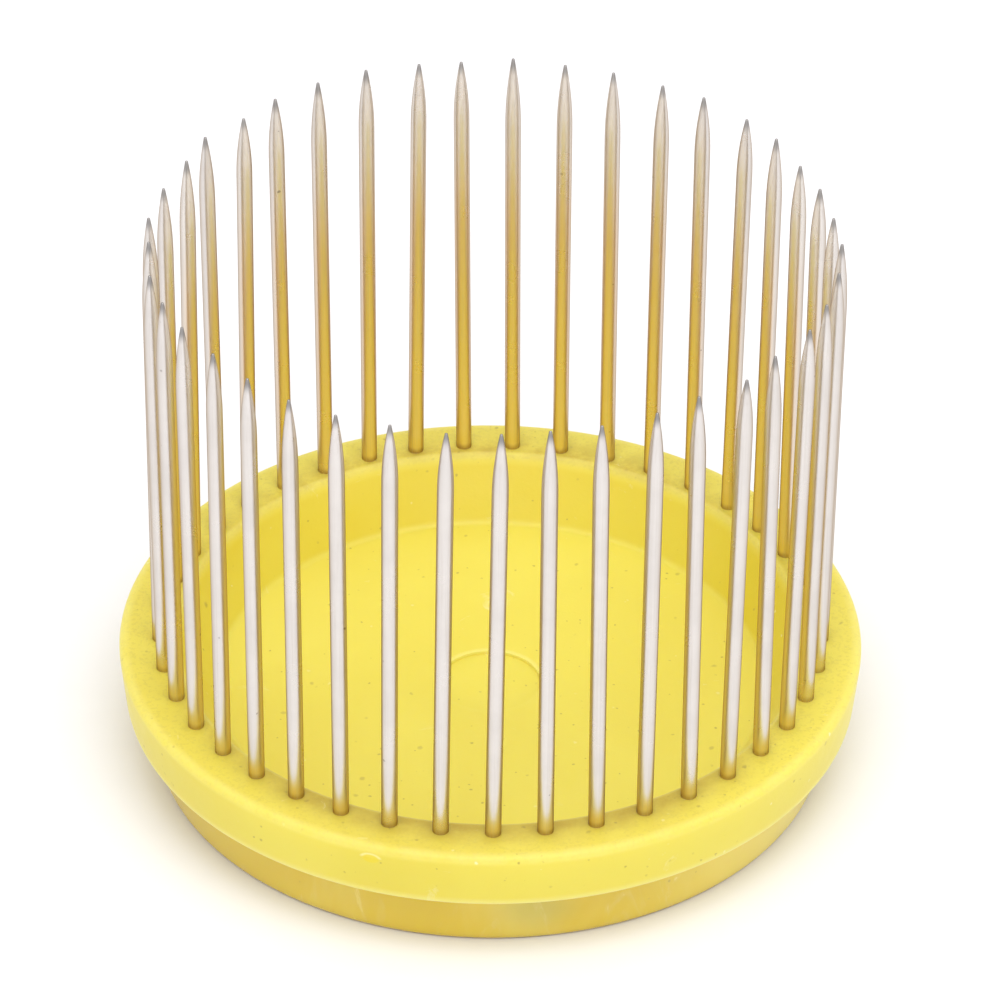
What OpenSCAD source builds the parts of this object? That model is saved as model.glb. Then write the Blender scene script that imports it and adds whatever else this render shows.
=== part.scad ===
// Flower frog: a round moulded dish that carries a ring of upright steel needles and is closed
// underneath by a shallow moulded cover. Cut stems stand between the needles, over the dish.
// The origin is the centre of the underside, +Z is up, and all sizes are in millimetres.

/* [Flange] */
// Diameter of the flange across its top
flange_d = 80; // [68:0.5:100]
// Height of the flange's side
flange_h = 6.6; // [5:0.1:9]
// How far the flange's side draws in towards its lower edge
flange_draft = 0.7; // [0:0.1:1.2]
// Rounding of the flange's upper edge
flange_round = 0.8; // [0.4:0.1:2.4]
// Rounding of the flange's lower edge
flange_low_round = 0.6; // [0.1:0.1:0.8]

/* [Recess] */
// Depth of the recess below the flange's top
recess_depth = 6.6; // [4.5:0.1:8]
// How far the recess wall leans in from its upper edge to the floor
recess_lean = 4.4; // [1:0.1:6]
// Rounding of the recess's upper edge
lip_round = 0.6; // [0.2:0.1:1]
// Fillet between the recess wall and the floor
floor_fillet = 0.8; // [0.2:0.1:2]
// Thickness of the floor
floor_t = 2; // [1.2:0.1:2.4]
// Thickness of the leaning wall, measured level
wall_t = 2.2; // [1.6:0.1:3]
// Diameter of the shallow round step in the middle of the floor
centre_step_d = 10.8; // [6:0.2:20]
// Depth of the step in the middle of the floor
centre_step_depth = 0.4; // [0.2:0.1:0.8]

/* [Needles] */
// Number of needles in the ring
needle_count = 41; // [12:1:58]
// Diameter of a needle's shank
needle_d = 1.7; // [1.7:0.1:2.2]
// Height that a needle stands above the flange
needle_h = 50.1; // [25:0.1:70]
// Length of the tapered point
point_l = 7.5; // [4:0.5:15]
// Diameter of the blunt end of the point
point_end_d = 0.3; // [0.2:0.05:0.6]
// Diameter of the tang below the shoulder, which is pressed into the flange
tang_d = 1.3; // [0.8:0.1:1.6]
// Chamfer round the lower end of the tang
tang_chamfer = 0.2; // [0.1:0.05:0.3]
// Distance from the flange's edge to the circle that the needles stand on
needle_inset = 4.5; // [4:0.1:6]
// Plastic left between a needle and the recess's upper edge
inner_land = 0.75; // [0.6:0.05:2]

/* [Cover] */
// Height of the cover's side, below the flange
cover_h = 7.1; // [6.5:0.1:10]
// How far the cover's rim reaches past each side of a needle
rim_margin = 0.15; // [0.1:0.05:0.4]
// How far the cover's side draws in towards the underside
cover_draft = 0.5; // [0:0.1:0.9]
// Thickness of the cover's floor
cover_floor_t = 1.8; // [1.2:0.1:2]
// Rounding of the cover's lower edge
cover_round = 0.7; // [0.3:0.1:1]
// Width of the flat ring that the object stands on
foot_ring_w = 3; // [2:0.1:8]
// Depth of the hollow underside inside the foot ring
foot_hollow = 0.8; // [0.3:0.1:1]

/* [Snap fit] */
// Gap left between the end of the dish's spigot and the cover's floor
spigot_end_gap = 1; // [0.4:0.1:1.6]
// Thickness of the spigot's wall
spigot_t = 1.6; // [1.2:0.1:2]
// Clearance between the spigot and the cover's wall, on each side
spigot_gap = 0.1; // [0.05:0.05:0.3]
// Radius of the snap bead's round section
bead_r = 0.5; // [0.4:0.05:0.6]
// How far the bead stands out of the spigot
bead_out = 0.35; // [0.2:0.05:0.4]
// Height of the bead above the spigot's lower end
bead_rise = 1.4; // [1.2:0.1:1.6]

/* [Hidden] */
$fn = 96;
overrun = 1; // how far a bore runs past the faces that it cuts

// Heights
base_h = cover_h + flange_h;
recess_z = base_h - recess_depth;
floor_under_z = recess_z - floor_t;
cover_floor_z = foot_hollow + cover_floor_t;
spigot_h = cover_h - cover_floor_z - spigot_end_gap;
spigot_z = cover_h - spigot_h;
bead_z = spigot_z + bead_rise;

// Radii, worked out from the flange inwards
flange_r = flange_d / 2;
flange_low_r = flange_r - flange_draft;
ring_r = flange_r - needle_inset;
needle_r = needle_d / 2;
tang_r = tang_d / 2;
lip_r = ring_r - needle_r - inner_land;
recess_r = lip_r - recess_lean;
rim_in_r = ring_r - needle_r - rim_margin;
rim_out_r = ring_r + needle_r + rim_margin;
cover_r = rim_out_r - cover_draft;
foot_in_r = cover_r - foot_ring_w;
spigot_r = rim_in_r - spigot_gap;
spigot_in_r = spigot_r - spigot_t;
bead_centre_r = spigot_r + bead_out - bead_r;

// The leaning wall's outer side: its radius where it leaves the floor's underside, and its
// height where it meets the inside of the spigot
lean_slope = recess_lean / recess_depth;
wall_under_r = recess_r + wall_t - floor_t * lean_slope;
wall_meets_z = floor_under_z + (spigot_in_r - wall_under_r) / lean_slope;

// Corners of the dish's section that are rounded or filleted, as [radius, height]
flange_top = [flange_r, base_h];
flange_low = [flange_low_r, cover_h];
lip = [lip_r, base_h];
floor_edge = [recess_r, recess_z];
floor_middle = [0, recess_z];

// The needle's outline: a thin tang, a shoulder that stands on the flange, a straight shank and a
// point that curves in to its blunt end
needle_l = flange_h + needle_h;
point_end_r = point_end_d / 2;
point_steps = 6;
function point_r(t) = point_end_r + (needle_r - point_end_r) * (1 - t * t);
needle_outline = concat(
    [[0, 0], [tang_r - tang_chamfer, 0], [tang_r, tang_chamfer]],
    [[tang_r, flange_h], [needle_r, flange_h]],
    [for (i = [0:point_steps]) [point_r(i / point_steps), needle_l - point_l * (1 - i / point_steps)]],
    [[0, needle_l]]
);

// Node names: the two mouldings and one node for each needle
function needle_name(i) = str("needle_", i < 10 ? "0" : "", i);

function unit(v) = v / norm(v);

// The bit of a sharp corner that lies outside a circle touching both of its sides: taken away
// from an outer corner it rounds it, and added to an inner corner it fills it with a fillet
module corner_bit(corner, on_one_side, on_other_side, radius) {
    one = unit(on_one_side - corner);
    other = unit(on_other_side - corner);
    half_angle = acos(one * other) / 2;
    centre = corner + unit(one + other) * radius / sin(half_angle);
    touch = radius / tan(half_angle);
    difference() {
        polygon([corner, corner + one * touch, centre, corner + other * touch]);
        translate(centre)
            circle(r = radius);
    }
}

// Puts its children at a needle's place in the ring, the first needle at the front
module at_needle(i) {
    rotate([0, 0, 360 * (i - 1) / needle_count])
        translate([0, -ring_r, 0])
            children();
}

module dish_section() {
    difference() {
        polygon([
            floor_middle,
            [0, floor_under_z],
            [wall_under_r, floor_under_z],
            [spigot_in_r, wall_meets_z],
            [spigot_in_r, spigot_z],
            [spigot_r, spigot_z],
            [spigot_r, cover_h],
            flange_low,
            flange_top,
            lip,
            floor_edge
        ]);
        corner_bit(flange_top, flange_low, lip, flange_round);
        corner_bit(flange_low, flange_top, [spigot_r, cover_h], flange_low_round);
        corner_bit(lip, flange_top, floor_edge, lip_round);
    }
    corner_bit(floor_edge, lip, floor_middle, floor_fillet);
    translate([bead_centre_r, bead_z])
        circle(r = bead_r);
}

module dish() {
    color([0.96, 0.86, 0.36])
        difference() {
            rotate_extrude()
                dish_section();
            translate([0, 0, recess_z - centre_step_depth])
                cylinder(d = centre_step_d, h = centre_step_depth + overrun);
            for (i = [1:needle_count])
                at_needle(i)
                    translate([0, 0, cover_h - overrun])
                        cylinder(r = tang_r, h = flange_h + 2 * overrun);
        }
}

module base_cover() {
    color([0.86, 0.74, 0.34])
        rotate_extrude()
            difference() {
                polygon([
                    [0, foot_hollow],
                    [foot_in_r, foot_hollow],
                    [foot_in_r, 0],
                    [cover_r, 0],
                    [rim_out_r, cover_h],
                    [rim_in_r, cover_h],
                    [rim_in_r, cover_floor_z],
                    [0, cover_floor_z]
                ]);
                corner_bit([cover_r, 0], [foot_in_r, 0], [rim_out_r, cover_h], cover_round);
                translate([bead_centre_r, bead_z])
                    circle(r = bead_r + spigot_gap);
            }
}

module needle(i) {
    color([0.80, 0.80, 0.81])
        at_needle(i)
            translate([0, 0, cover_h])
                rotate_extrude()
                    polygon(needle_outline);
}

dish();
base_cover();
for (i = [1:needle_count])
    needle(i);
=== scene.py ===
import math
import random

import bmesh
import bpy
from mathutils import Matrix, Quaternion, Vector


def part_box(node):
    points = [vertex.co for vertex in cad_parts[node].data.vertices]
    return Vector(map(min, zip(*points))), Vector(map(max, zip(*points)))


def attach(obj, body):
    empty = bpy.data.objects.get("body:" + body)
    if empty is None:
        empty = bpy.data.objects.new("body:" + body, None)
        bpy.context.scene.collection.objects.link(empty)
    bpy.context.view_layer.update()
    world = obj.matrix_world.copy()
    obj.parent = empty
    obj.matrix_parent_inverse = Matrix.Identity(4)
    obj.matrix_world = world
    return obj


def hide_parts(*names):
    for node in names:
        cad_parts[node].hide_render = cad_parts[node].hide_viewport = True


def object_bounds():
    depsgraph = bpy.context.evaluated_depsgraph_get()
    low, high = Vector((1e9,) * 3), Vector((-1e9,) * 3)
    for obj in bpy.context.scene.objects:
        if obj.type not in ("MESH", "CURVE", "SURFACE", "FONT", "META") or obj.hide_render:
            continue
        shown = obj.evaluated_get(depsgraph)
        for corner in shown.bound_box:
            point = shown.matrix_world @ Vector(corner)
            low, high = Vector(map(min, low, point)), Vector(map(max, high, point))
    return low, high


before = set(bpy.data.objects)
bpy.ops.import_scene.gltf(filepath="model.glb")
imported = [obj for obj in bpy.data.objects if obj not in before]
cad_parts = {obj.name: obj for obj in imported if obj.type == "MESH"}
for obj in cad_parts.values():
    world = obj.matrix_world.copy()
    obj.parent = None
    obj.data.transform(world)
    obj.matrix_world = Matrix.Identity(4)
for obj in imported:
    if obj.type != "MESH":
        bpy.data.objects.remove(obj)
cad_low, cad_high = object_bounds()

# ---------------------------------------------------------------------------------------------
# Base cover. A shallow cup moulded in translucent amber plastic, snapped up over a ring under
# the dish. It closes the underside, carries the needles' feet on its rim, and its narrow foot
# ring is what the object stands on. Its side has faint upright flow marks and shelf scuffs.
# ---------------------------------------------------------------------------------------------

MM = 0.001
RING_STEPS = 410
MERGE_WITHIN = 1e-7
AT_CORNER = 1e-5


def spun(outline, rounds, steps=RING_STEPS):
    """Spins an outline of (radius, height) points round Z, and rounds the corners in rounds."""
    bm = bmesh.new()
    corners = [bm.verts.new((r, 0, z)) for r, z in outline]
    sides = [bm.edges.new(pair) for pair in zip(corners, corners[1:])]
    bmesh.ops.spin(bm, geom=corners + sides, cent=(0, 0, 0), axis=(0, 0, 1),
                   angle=math.tau, steps=steps, use_merge=True)
    bmesh.ops.remove_doubles(bm, verts=bm.verts, dist=MERGE_WITHIN)
    for corner, radius, segments in rounds:
        r, z = outline[corner]
        ring = [e for e in bm.edges
                if all(math.hypot(math.hypot(v.co.x, v.co.y) - r, v.co.z - z) < AT_CORNER
                       for v in e.verts)]
        bmesh.ops.bevel(bm, geom=ring, offset=radius, offset_type="OFFSET", affect="EDGES",
                        segments=segments, profile=0.5, material=-1)
    bmesh.ops.recalc_face_normals(bm, faces=bm.faces)
    return bm


def finished(name, bm, material, node, smooth_below=40):
    """Makes the object of a finished mesh, smooth except at its sharp edges, in place of a CAD node."""
    mesh = bpy.data.meshes.new(name)
    bm.to_mesh(mesh)
    bm.free()
    mesh.polygons.foreach_set("use_smooth", [True] * len(mesh.polygons))
    mesh.set_sharp_from_angle(angle=math.radians(smooth_below))
    mesh.materials.append(material)
    piece = bpy.data.objects.new(name, mesh)
    bpy.context.collection.objects.link(piece)
    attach(piece, "root")
    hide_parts(node)
    return piece


def shade(tree, kind, sockets=None, **settings):
    """Adds a shader node: settings are its own, and sockets are values or the outputs to link."""
    made = tree.nodes.new(kind)
    for key, value in settings.items():
        setattr(made, key, value)
    for key, value in (sockets or {}).items():
        if isinstance(value, bpy.types.NodeSocket):
            tree.links.new(value, made.inputs[key])
        else:
            made.inputs[key].default_value = value
    return made


def maths(tree, operation, *values, clamp=False):
    made = shade(tree, "ShaderNodeMath", dict(enumerate(values)), operation=operation, use_clamp=clamp)
    return made.outputs[0]


def vector_maths(tree, operation, *values):
    """Works on vectors. The result is a vector, or a number for a length or a distance."""
    made = shade(tree, "ShaderNodeVectorMath", dict(enumerate(values)), operation=operation)
    return made.outputs["Value" if operation in ("LENGTH", "DISTANCE") else "Vector"]


def steps_between(tree, value, low, high, to_low=0.0, to_high=1.0):
    """Goes smoothly from to_low to to_high as value goes from low to high."""
    return shade(tree, "ShaderNodeMapRange",
                 {"Value": value, "From Min": low, "From Max": high, "To Min": to_low, "To Max": to_high},
                 interpolation_type="SMOOTHSTEP").outputs["Result"]


def tint(tree, amount, colour, over, blend="MIX"):
    """Lays a colour over another by an amount from 0 to 1."""
    made = shade(tree, "ShaderNodeMix", data_type="RGBA", blend_type=blend)
    for socket, value in ((made.inputs[0], amount), (made.inputs[6], over), (made.inputs[7], colour)):
        if isinstance(value, bpy.types.NodeSocket):
            tree.links.new(value, socket)
        elif socket is made.inputs[0]:
            socket.default_value = value
        else:
            socket.default_value = (*value, 1)
    return made.outputs[2]


def noise(tree, place, scale, detail=3.0, rough=0.5, warp=0.0):
    return shade(tree, "ShaderNodeTexNoise",
                 {"Vector": place, "Scale": scale, "Detail": detail, "Roughness": rough,
                  "Distortion": warp}).outputs["Fac"]


def crumpled(tree, place, scale, by):
    """Shifts a place by up to this distance with a fine noise, so that what it draws is irregular."""
    shift = shade(tree, "ShaderNodeTexNoise", {"Vector": place, "Scale": scale, "Detail": 2.0})
    centred = vector_maths(tree, "SUBTRACT", shift.outputs["Color"], (0.5, 0.5, 0.5))
    scaled = shade(tree, "ShaderNodeVectorMath", {0: centred, "Scale": 2 * by},
                   operation="SCALE").outputs[0]
    return vector_maths(tree, "ADD", place, scaled)


def specks(tree, place, pitch, size, share):
    """Small separate specks, soft and irregular: a share of the cells of this pitch holds one."""
    rough_place = crumpled(tree, place, 0.7 / size, size * 0.5)
    cell = shade(tree, "ShaderNodeTexVoronoi",
                 {"Vector": rough_place, "Scale": 1 / pitch, "Randomness": 1.0})
    draw = shade(tree, "ShaderNodeSeparateColor", {"Color": cell.outputs["Color"]})
    holds = maths(tree, "LESS_THAN", draw.outputs["Red"], share)
    reach = maths(tree, "MULTIPLY_ADD", draw.outputs["Green"], 0.25 * size / pitch, 0.25 * size / pitch)
    near = steps_between(tree, maths(tree, "DIVIDE", cell.outputs["Distance"], reach), 0.5, 1.3, 1.0, 0.0)
    strength = maths(tree, "MULTIPLY_ADD", draw.outputs["Blue"], 0.7, 0.3)
    return maths(tree, "MULTIPLY", maths(tree, "MULTIPLY", near, holds), strength)


def hairs(tree, place, pitch, size, share, turn):
    """Short hair-like marks: specks drawn in a space that is squeezed along one way."""
    bent = crumpled(tree, place, 0.12 / size, size * 2.5)
    squeezed = shade(tree, "ShaderNodeMapping", {"Vector": bent, "Rotation": (0, 0, turn),
                                                 "Scale": (1.0, 0.1, 1.0)}).outputs[0]
    return specks(tree, squeezed, pitch, size, share)


def surface(name):
    """A new material, with its object coordinates whole and in parts, and the distance from the axis."""
    made = bpy.data.materials.new(name)
    made.use_nodes = True
    tree = made.node_tree
    tree.nodes.clear()
    place = shade(tree, "ShaderNodeTexCoord").outputs["Object"]
    parts = shade(tree, "ShaderNodeSeparateXYZ", {"Vector": place})
    flat = shade(tree, "ShaderNodeCombineXYZ",
                 {"X": parts.outputs["X"], "Y": parts.outputs["Y"]}).outputs[0]
    return made, tree, place, parts, vector_maths(tree, "LENGTH", flat)


def finish_surface(tree, colour, rough, height, bump, **fixed):
    normal = shade(tree, "ShaderNodeBump", {"Height": height, "Distance": bump, "Strength": 1.0}).outputs[0]
    shader = shade(tree, "ShaderNodeBsdfPrincipled",
                   {"Base Color": colour, "Roughness": rough, "Normal": normal, **fixed})
    shade(tree, "ShaderNodeOutputMaterial", {"Surface": shader.outputs[0]})


def amber_plastic():
    made, tree, place, parts, _ = surface("amber_plastic")
    up = parts.outputs["Z"]
    drawn_up = shade(tree, "ShaderNodeMapping", {"Vector": place, "Scale": (1.0, 1.0, 0.3)}).outputs[0]
    flow = noise(tree, drawn_up, 70.0, 4.0, 0.6, 0.6)
    clouds = noise(tree, place, 48.0, 2.0, 0.5, 0.4)
    colour = tint(tree, steps_between(tree, clouds, 0.38, 0.68), (0.74, 0.565, 0.085), (0.67, 0.49, 0.045))
    colour = tint(tree, steps_between(tree, flow, 0.50, 0.74, 0.0, 0.4), (0.82, 0.70, 0.20), colour)
    # a dull cloud in the moulding, at the front
    cloud_off = vector_maths(tree, "DISTANCE", place, dull_cloud)
    cloud_off = maths(tree, "MULTIPLY_ADD", clouds, 4 * MM, cloud_off)
    darkened = steps_between(tree, cloud_off, 3 * MM, 8 * MM, 0.6, 0.0)
    colour = tint(tree, darkened, (0.52, 0.46, 0.12), colour)
    # painted light: paler towards the +x side, where more lamp light falls
    lit_side = steps_between(tree, parts.outputs["X"], 8 * MM, 32 * MM, 0.0, 0.55)
    colour = tint(tree, lit_side, (0.86, 0.72, 0.17), colour)
    # pale marks where it has been rubbed, longer upwards than across
    scuffs = noise(tree, drawn_up, 260.0, 4.0, 0.65, 0.8)
    worn = steps_between(tree, scuffs, 0.55, 0.80, 0.0, 0.42)
    colour = tint(tree, worn, (0.82, 0.75, 0.38), colour)
    # painted shade: deeper, darker colour close to the surface that it stands on, where contact shade falls
    low_down = steps_between(tree, up, 0.2 * MM, 1.3 * MM, 0.3, 0.0)
    colour = tint(tree, low_down, (0.50, 0.29, 0.03), colour)
    dirt = specks(tree, place, 2.6 * MM, 0.35 * MM, 0.35)
    colour = tint(tree, maths(tree, "MULTIPLY", dirt, 0.5), (0.30, 0.22, 0.08), colour)
    rough = maths(tree, "MULTIPLY_ADD", worn, 0.5, 0.2)
    height = maths(tree, "MULTIPLY_ADD", worn, 0.6, noise(tree, place, 380.0, 2.0))
    finish_surface(tree, colour, rough, height, 0.00002,
                   **{"IOR": 1.49, "Sheen Weight": 0.12, "Sheen Roughness": 0.4, "Subsurface Weight": 0.4,
                      "Subsurface Radius": (1.0, 0.6, 0.12), "Subsurface Scale": 3 * MM})
    return made


cover_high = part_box("base_cover")[1]
cover_rim_r = cover_high.x
cover_foot_r = cover_rim_r - 0.5 * MM
cover_rim_in_r = cover_rim_r - 2 * MM
cover_top = cover_high.z
foot_ring_in_r = cover_foot_r - 3 * MM
foot_hollow = 0.8 * MM
cover_floor_top = 2.6 * MM
dull_cloud = (4 * MM, -cover_rim_r, 4.5 * MM)

cover_outline = [
    (0, foot_hollow),
    (foot_ring_in_r, foot_hollow),
    (foot_ring_in_r, 0),
    (cover_foot_r, 0),
    (cover_rim_r, cover_top),
    (cover_rim_in_r, cover_top),
    (cover_rim_in_r, cover_floor_top),
    (0, cover_floor_top),
]
# corner, how far back its rounding starts, and the number of steps in it
cover_rounds = [(3, 0.7 * MM, 5), (2, 0.3 * MM, 3), (1, 0.3 * MM, 3)]
finished("amber_cover", spun(cover_outline, cover_rounds), amber_plastic(), "base_cover")

# ---------------------------------------------------------------------------------------------
# Dish. One thick moulding in translucent yellow plastic: a round flange with a soft outer edge,
# a shallow recess whose wall leans in to a flat floor, and a low round step in its middle. It is
# handled and a little dirty: a nick, pale wear on the edges, fine specks, grime on the flange top.
# Painted shade darkens the flange top and the recess wall, and painted highlights line the edges.
# ---------------------------------------------------------------------------------------------

dish_low, dish_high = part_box("dish")
flange_r = dish_high.x
flange_top = dish_high.z
spigot_bottom = dish_low.z
flange_low_r = flange_r - 0.7 * MM
flange_edge = 0.89 * MM
lip_r = flange_r - 6.1 * MM
recess_r = lip_r - 4.4 * MM
recess_floor = flange_top - 6.6 * MM
step_r = 5.4 * MM
step_depth = 0.4 * MM
spigot_r = cover_rim_in_r - 0.1 * MM
spigot_in_r = spigot_r - 1.6 * MM
floor_underside = recess_floor - 2 * MM
wall_under_r = recess_r + 0.87 * MM
wall_meets = floor_underside + (spigot_in_r - wall_under_r) * 1.5
needle_ring_r = flange_r - 4.5 * MM
needle_count = sum(name.startswith("needle_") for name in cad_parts)

dish_outline = [
    (0, recess_floor - step_depth),
    (step_r, recess_floor - step_depth),
    (step_r, recess_floor),
    (recess_r, recess_floor),
    (lip_r, flange_top),
    (flange_r, flange_top),
    (flange_low_r, cover_top),
    (spigot_r, cover_top),
    (spigot_r, spigot_bottom),
    (spigot_in_r, spigot_bottom),
    (spigot_in_r, wall_meets),
    (wall_under_r, floor_underside),
    (0, floor_underside),
]
# corner, how far back its rounding starts, and the number of steps in it
dish_rounds = [(3, 0.45 * MM, 5), (4, 0.34 * MM, 4), (5, flange_edge, 8), (6, 0.54 * MM, 5),
               (2, 0.08 * MM, 2), (1, 0.08 * MM, 2)]
nick_at = math.radians(-18.5)
nick_out = Vector((math.sin(nick_at), -math.cos(nick_at), 0))
nick_along = Vector((math.cos(nick_at), math.sin(nick_at), 0))
nick_place = nick_out * (flange_r - 0.05 * MM) + Vector((0, 0, flange_top - 1.6 * MM))
nick_size = Vector((1.05 * MM, 0.7 * MM, 0.5 * MM))
nick_patch = 2.1 * MM
nick_faces_up = 0.35


def yellow_plastic():
    made, tree, place, parts, radius = surface("yellow_plastic")
    up = parts.outputs["Z"]
    clouds = noise(tree, place, 32.0, 3.0, 0.5, 0.5)
    mottle = noise(tree, place, 420.0, 4.0, 0.65)
    grain = noise(tree, place, 2600.0, 2.0, 0.6)
    colour = tint(tree, steps_between(tree, clouds, 0.35, 0.68), (0.735, 0.635, 0.075), (0.70, 0.59, 0.06))
    # painted shade: the sloping wall of the recess is a deeper, darker gold than the floor, as less light
    # reaches it
    on_wall = maths(tree, "MULTIPLY",
                    steps_between(tree, up, recess_floor + 0.1 * MM, recess_floor + 0.7 * MM),
                    steps_between(tree, radius, lip_r - 0.9 * MM, lip_r - 0.3 * MM, 1.0, 0.0))
    wall_shade = maths(tree, "MULTIPLY", on_wall, steps_between(tree, clouds, 0.35, 0.62, 1.0, 0.65))
    colour = tint(tree, wall_shade, (0.665, 0.53, 0.018), colour)
    # the flange's top is painted with shade next to the recess, paler further out and towards the sides,
    # mottled with dull grime and dotted with dirt
    on_top = steps_between(tree, up, flange_top - 0.9 * MM, flange_top - 0.25 * MM)
    inner = maths(tree, "MULTIPLY",
                  steps_between(tree, radius, lip_r + 0.6 * MM, lip_r + 4.6 * MM, 1.0, 0.25), on_top)
    inner = maths(tree, "MULTIPLY", inner,
                  steps_between(tree, radius, lip_r - 0.5 * MM, lip_r + 0.3 * MM, 0.3, 1.0))
    aside = steps_between(tree, maths(tree, "ABSOLUTE", parts.outputs["X"]), 16 * MM, 32 * MM, 1.0, 0.4)
    inner = maths(tree, "MULTIPLY", inner, aside)
    darkened = maths(tree, "MULTIPLY", inner, steps_between(tree, mottle, 0.3, 0.7, 0.35, 0.95))
    colour = tint(tree, darkened, (0.475, 0.35, 0.035), colour)
    # the painted shade, with some grime, is darker still at the front, behind the front needles
    front_shade_and_grime = maths(tree, "MULTIPLY", inner,
                        steps_between(tree, parts.outputs["Y"], -30 * MM, -18 * MM, 0.4, 0.0))
    colour = tint(tree, front_shade_and_grime, (0.40, 0.27, 0.02), colour)
    dots = maths(tree, "MULTIPLY", steps_between(tree, grain, 0.5, 0.66, 0.0, 0.28), on_top)
    colour = tint(tree, dots, (0.50, 0.41, 0.06), colour)
    top_dirt = maths(tree, "MULTIPLY", specks(tree, place, 0.9 * MM, 0.42 * MM, 0.4), inner)
    colour = tint(tree, maths(tree, "MULTIPLY", top_dirt, 0.6), (0.30, 0.22, 0.05), colour)
    # the flange's outer edge is rubbed pale and carries a painted highlight; the recess lip gets a painted
    # highlight line with some wear
    rim_wear_and_highlight = maths(tree, "MULTIPLY", steps_between(tree, radius, flange_r - 1.5 * MM, flange_r - 0.7 * MM),
                steps_between(tree, up, flange_top - 1.2 * MM, flange_top - 0.5 * MM))
    rim_wear_and_highlight = maths(tree, "MULTIPLY", rim_wear_and_highlight, steps_between(tree, mottle, 0.2, 0.7, 0.1, 0.4))
    lip_highlight_and_wear = maths(tree, "MULTIPLY", steps_between(tree, radius, lip_r - 0.55 * MM, lip_r - 0.25 * MM),
                steps_between(tree, radius, lip_r + 0.1 * MM, lip_r + 0.5 * MM, 1.0, 0.0))
    lip_highlight_and_wear = maths(tree, "MULTIPLY", lip_highlight_and_wear, on_top)
    # painted highlight lines on the flange's lower edge and on the back of the middle step
    low_edge_highlight = maths(tree, "MULTIPLY",
                     steps_between(tree, up, cover_top + 0.3 * MM, cover_top + 1.2 * MM, 0.8, 0.0),
                     steps_between(tree, radius, flange_low_r - 1.2 * MM, flange_low_r - 0.8 * MM))
    off_step = maths(tree, "ABSOLUTE", maths(tree, "SUBTRACT", radius, step_r + 0.1 * MM))
    step_highlight = maths(tree, "MULTIPLY", steps_between(tree, off_step, 0.15 * MM, 0.6 * MM, 0.5, 0.0),
                 steps_between(tree, up, recess_floor - 0.4 * MM, recess_floor - 0.2 * MM))
    step_highlight = maths(tree, "MULTIPLY", step_highlight, steps_between(tree, parts.outputs["Y"], -1 * MM, 3 * MM, 0.1, 1.0))
    rubbed_and_highlit = maths(tree, "MAXIMUM", maths(tree, "MAXIMUM", rim_wear_and_highlight, maths(tree, "MULTIPLY", lip_highlight_and_wear, 0.3)),
                 maths(tree, "MAXIMUM", low_edge_highlight, step_highlight))
    colour = tint(tree, rubbed_and_highlit, (0.76, 0.69, 0.20), colour)
    # the nick is painted a deeper yellow inside, with a pale line along its upper rim
    off_nick = vector_maths(tree, "SUBTRACT", place, nick_place)
    in_nick = vector_maths(tree, "LENGTH", vector_maths(tree, "MULTIPLY", off_nick, (1.0, 1.0, 1.6)))
    rim_of_nick = maths(tree, "MULTIPLY", steps_between(tree, in_nick, 1.35 * MM, 1.0 * MM, 0.0, 0.7),
                        steps_between(tree, up, nick_place.z, nick_place.z + 0.3 * MM))
    colour = tint(tree, rim_of_nick, (0.83, 0.78, 0.36), colour)
    nick_inside = steps_between(tree, in_nick, 0.7 * MM, 1.05 * MM, 0.9, 0.0)
    colour = tint(tree, nick_inside, (0.74, 0.60, 0.02), colour)
    # scuffs, pale dust, brown specks and hair-like marks
    scuffs = noise(tree, place, 210.0, 5.0, 0.72, 1.0)
    rubbed = steps_between(tree, scuffs, 0.64, 0.74, 0.0, 0.4)
    colour = tint(tree, rubbed, (0.80, 0.75, 0.40), colour)
    dust = specks(tree, place, 2.2 * MM, 0.45 * MM, 0.3)
    colour = tint(tree, maths(tree, "MULTIPLY", dust, 0.55), (0.85, 0.82, 0.55), colour)
    dirt = maths(tree, "MAXIMUM", specks(tree, place, 1.2 * MM, 0.36 * MM, 0.4),
                 specks(tree, place, 2.9 * MM, 0.66 * MM, 0.4))
    dirt = maths(tree, "MAXIMUM", dirt, maths(tree, "MULTIPLY", maths(
        tree, "MAXIMUM", hairs(tree, place, 1.6 * MM, 0.16 * MM, 0.2, 0.5),
        hairs(tree, place, 1.9 * MM, 0.16 * MM, 0.2, 2.0)), 0.7))
    colour = tint(tree, maths(tree, "MULTIPLY", dirt, 0.55), (0.24, 0.16, 0.035), colour)
    rough = maths(tree, "MULTIPLY_ADD", inner, 0.1, maths(tree, "MULTIPLY_ADD", mottle, 0.2, 0.42))
    height = maths(tree, "MULTIPLY_ADD", mottle, 1.2, maths(tree, "MULTIPLY", grain, 0.6))
    finish_surface(tree, colour, rough, height, 0.00002,
                   **{"IOR": 1.49, "Sheen Weight": 0.12, "Sheen Roughness": 0.4, "Subsurface Weight": 0.35,
                      "Subsurface Radius": (1.0, 0.75, 0.15), "Subsurface Scale": 3 * MM})
    return made


def nick_edge(bm):
    """Scoops a small nick out of the flange's outer edge, in a patch of finer mesh."""
    near = [e for e in bm.edges if all((v.co - nick_place).length < nick_patch for v in e.verts)]
    bmesh.ops.subdivide_edges(bm, edges=near, cuts=5, use_grid_fill=True)
    outward = (nick_out + Vector((0, 0, nick_faces_up))).normalized()
    across = nick_along.cross(outward)
    for v in bm.verts:
        off = v.co - nick_place
        seen = Vector((off.dot(nick_along) / nick_size.x, off.dot(across) / nick_size.y,
                       off.dot(outward) / nick_size.z))
        if seen.length < 1 and off.dot(outward) > -nick_size.z:
            sunk = -math.sqrt(1 - seen.x ** 2 - seen.y ** 2) * nick_size.z
            v.co = v.co + outward * (sunk - off.dot(outward))


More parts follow.
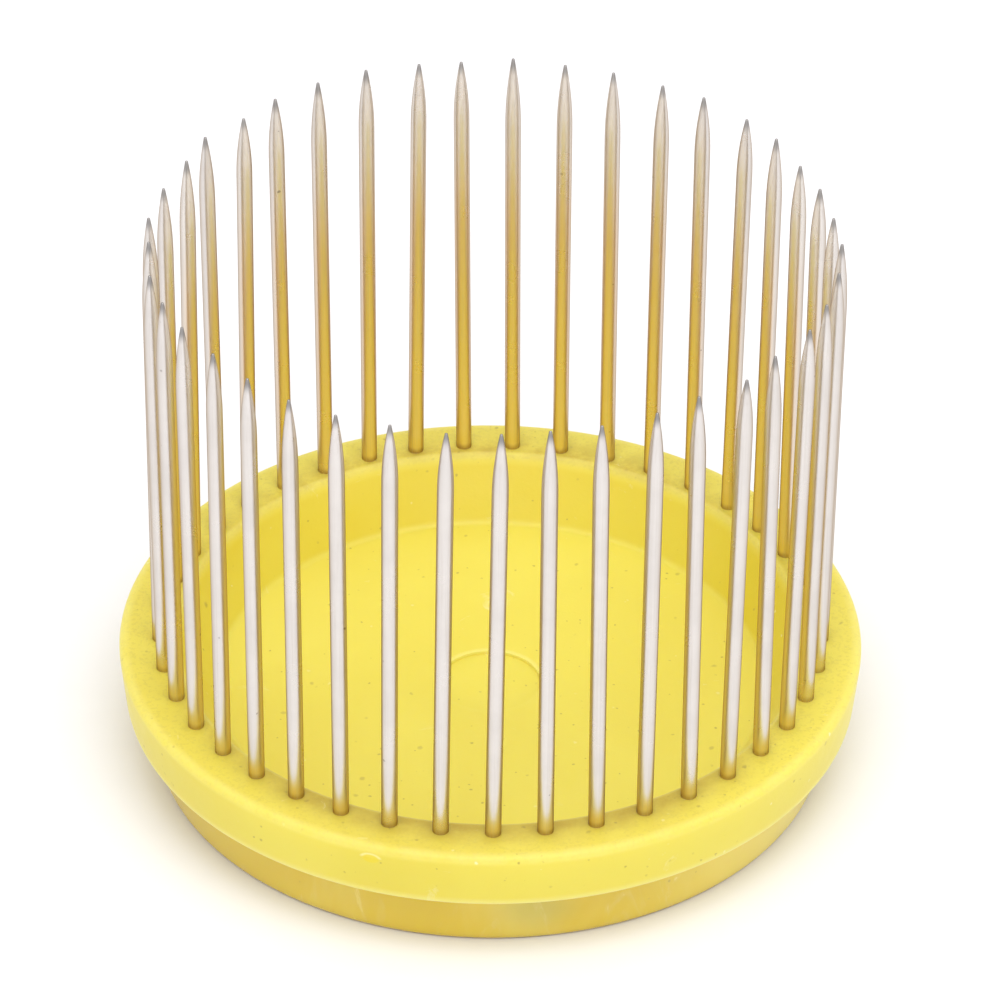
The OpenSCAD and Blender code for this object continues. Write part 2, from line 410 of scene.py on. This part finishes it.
dish_mesh = spun(dish_outline, dish_rounds)
nick_edge(dish_mesh)
finished("yellow_dish", dish_mesh, yellow_plastic(), "dish")

# ---------------------------------------------------------------------------------------------
# Needles. Each is drawn steel wire, polished, with a long curved point ground on its upper end
# and a thinner tang pressed into the flange. No two stand quite alike: they lean a little, most
# of them outwards, and their points are ground to slightly different lengths.
# ---------------------------------------------------------------------------------------------

needle_r = 0.85 * MM
tang_r = 0.65 * MM
point_end_r = 0.15 * MM
point_length = 7.5 * MM
point_steps = 7
tang_depth = 0.4 * MM
needle_sides = 28
# how far a needle leans at its middle value and how much that varies, per unit of height
lean_outwards = 0.0064
lean_outwards_spread = 0.004
lean_sideways_spread = 0.005


def drawn_steel():
    made, tree, place, parts, radius = surface("drawn_steel")
    up = parts.outputs["Z"]
    stretched = shade(tree, "ShaderNodeMapping", {"Vector": place, "Scale": (1.0, 1.0, 0.008)}).outputs[0]
    lines = noise(tree, stretched, 5200.0, 3.0, 0.65)
    patches = noise(tree, place, 160.0, 4.0, 0.6)
    pits = specks(tree, place, 1.9 * MM, 0.38 * MM, 0.15)
    tip = steps_between(tree, up, cad_high.z - 2.0 * MM, cad_high.z - 0.5 * MM)
    foot = steps_between(tree, up, flange_top + 0.8 * MM, flange_top + 3 * MM, 1.0, 0.0)
    colour = tint(tree, steps_between(tree, patches, 0.35, 0.7), (0.86, 0.85, 0.85), (0.92, 0.91, 0.91))
    # painted reflection: the sides that face into the ring are bright high up, where they mirror the pale
    # table, and warm low down, where they mirror the yellow dish
    inward_reflection = steps_between(tree, radius, needle_ring_r - 0.3 * MM, needle_ring_r + 0.5 * MM, 1.0, 0.0)
    low_down = steps_between(tree, up, flange_top + 28 * MM, flange_top + 43 * MM, 1.0, 0.0)
    colour = tint(tree, inward_reflection, (1.0, 0.985, 0.96), colour)
    inward_reflection = maths(tree, "MULTIPLY", inward_reflection, low_down)
    colour = tint(tree, inward_reflection, (0.99, 0.84, 0.66), colour)
    # painted reflection: the foot is golden where it mirrors the yellow flange; painted contact shade with
    # grime darkens it where it meets the plastic
    foot_reflection = maths(tree, "MULTIPLY", foot, steps_between(tree, patches, 0.3, 0.65, 0.4, 0.9))
    colour = tint(tree, foot_reflection, (0.97, 0.80, 0.40), colour)
    foot_shade_and_grime = steps_between(tree, up, flange_top + 0.15 * MM, flange_top + 0.9 * MM, 0.5, 0.0)
    colour = tint(tree, foot_shade_and_grime, (0.45, 0.30, 0.16), colour)
    # lines from the drawing die, the dark ground tip, and small pits
    colour = tint(tree, steps_between(tree, lines, 0.45, 0.75, 0.0, 0.5), (0.76, 0.73, 0.70), colour)
    colour = tint(tree, maths(tree, "MULTIPLY", tip, 0.8), (0.30, 0.30, 0.31), colour)
    colour = tint(tree, maths(tree, "MULTIPLY", pits, 0.7), (0.13, 0.10, 0.08), colour)
    rough = maths(tree, "MULTIPLY_ADD", patches, 0.14, maths(tree, "MULTIPLY_ADD", tip, 0.08, 0.22))
    finish_surface(tree, colour, rough, lines, 0.0000025,
                   **{"Metallic": 1.0, "Specular Tint": (0.75, 0.62, 0.45, 1), "Coat Weight": 1.0,
                      "Coat Roughness": 0.3, "Coat IOR": 1.05, "Coat Tint": (0.82, 0.79, 0.75, 1)})
    return made


needle_steel = drawn_steel()
draw = random.Random(41)


def needle_mesh(number, low, high):
    """One needle at its own place in the ring, leaning by a small amount of its own."""
    point = point_length * draw.uniform(0.9, 1.12)
    tip = high.z - draw.uniform(0.0, 0.35) * MM
    curve = [k / point_steps for k in range(point_steps + 1)]
    shoulder = flange_top - tang_depth
    outline = [(0, low.z), (tang_r, low.z), (tang_r, shoulder), (needle_r, shoulder)]
    outline += [(point_end_r + (needle_r - point_end_r) * (1 - t * t), tip - point * (1 - t))
                for t in curve]
    outline += [(point_end_r * 0.55, tip + 0.06 * MM), (0, tip + 0.08 * MM)]
    bm = spun(outline, [], needle_sides)
    angle = math.tau * (number - 1) / needle_count
    out = Vector((math.sin(angle), -math.cos(angle), 0))
    side = Vector((math.cos(angle), math.sin(angle), 0))
    lean = out * draw.gauss(lean_outwards, lean_outwards_spread)
    lean += side * draw.gauss(0.0, lean_sideways_spread)
    lean_by = Matrix(((1, 0, lean.x, 0), (0, 1, lean.y, 0), (0, 0, 1, 0), (0, 0, 0, 1)))
    foot = Vector((0, 0, flange_top))
    lean_by = Matrix.Translation(foot) @ lean_by @ Matrix.Translation(-foot)
    bmesh.ops.transform(bm, matrix=lean_by, verts=bm.verts)
    bmesh.ops.translate(bm, vec=out * needle_ring_r, verts=bm.verts)
    return bm


for number in range(1, needle_count + 1):
    node = f"needle_{number:02d}"
    needle_low, needle_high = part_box(node)
    finished(f"steel_{node}", needle_mesh(number, needle_low, needle_high), needle_steel, node)

# ---------------------------------------------------------------------------------------------
# Studio. A plain pale table top, a bright even surround like a light tent's, one wide soft lamp
# above the front, and the camera, which looks down on the dish from the front with a long lens.
# ---------------------------------------------------------------------------------------------

table_half = 3.0


def pale_table():
    made, tree, place, *_ = surface("pale_table")
    fibre = noise(tree, place, 300.0, 3.0)
    colour = tint(tree, fibre, (0.80, 0.797, 0.805), (0.82, 0.817, 0.825))
    finish_surface(tree, colour, 0.7, fibre, 0.00001, **{"IOR": 1.3})
    return made


bm = bmesh.new()
bmesh.ops.create_grid(bm, x_segments=2, y_segments=2, size=table_half)
table_mesh = bpy.data.meshes.new("table_top")
bm.to_mesh(table_mesh)
bm.free()
table_mesh.materials.append(pale_table())
table_top = bpy.data.objects.new("table_top", table_mesh)
bpy.context.collection.objects.link(table_top)

world = bpy.data.worlds.new("tent")
world.use_nodes = True
surround = world.node_tree.nodes["Background"]
surround.inputs["Color"].default_value = (0.985, 0.98, 1.0, 1)
surround.inputs["Strength"].default_value = 1.03
bpy.context.scene.world = world


def soft_lamp(name, width, power, place, towards):
    lamp = bpy.data.lights.new(name, "AREA")
    lamp.shape = "DISK"
    lamp.size = width
    lamp.energy = power
    holder = bpy.data.objects.new(name, lamp)
    holder.location = place
    holder.rotation_mode = "QUATERNION"
    holder.rotation_quaternion = (towards - place).to_track_quat("-Z", "Y")
    bpy.context.collection.objects.link(holder)


ring_centre = Vector((0, 0, flange_top))
lamp_width = 0.56
lamp_power = 2.6
lamp_place = Vector((0.03, -0.26, 0.60))
soft_lamp("front", lamp_width, lamp_power, lamp_place, ring_centre)

bpy.context.scene.view_settings.view_transform = "Standard"

camera_data = bpy.data.cameras.new("camera")
camera_data.lens = 241.3
camera_data.sensor_width = 36
camera_data.clip_start = 0.05
camera_data.clip_end = 20
camera = bpy.data.objects.new("camera", camera_data)
bpy.context.collection.objects.link(camera)
camera_distance = 0.7199
camera_azimuth = math.radians(-0.71)
camera_elevation = math.radians(35.97)
back = Vector((math.sin(camera_azimuth) * math.cos(camera_elevation),
               -math.cos(camera_azimuth) * math.cos(camera_elevation),
               math.sin(camera_elevation)))
camera.location = ring_centre + back * camera_distance
camera.rotation_mode = "QUATERNION"
nod = Quaternion((1, 0, 0), math.radians(1.12))
pan = Quaternion((0, 1, 0), math.radians(-0.072))
roll = Quaternion((0, 0, 1), math.radians(0.48))
camera.rotation_quaternion = (-back).to_track_quat("-Z", "Y") @ nod @ pan @ roll
bpy.context.scene.camera = camera
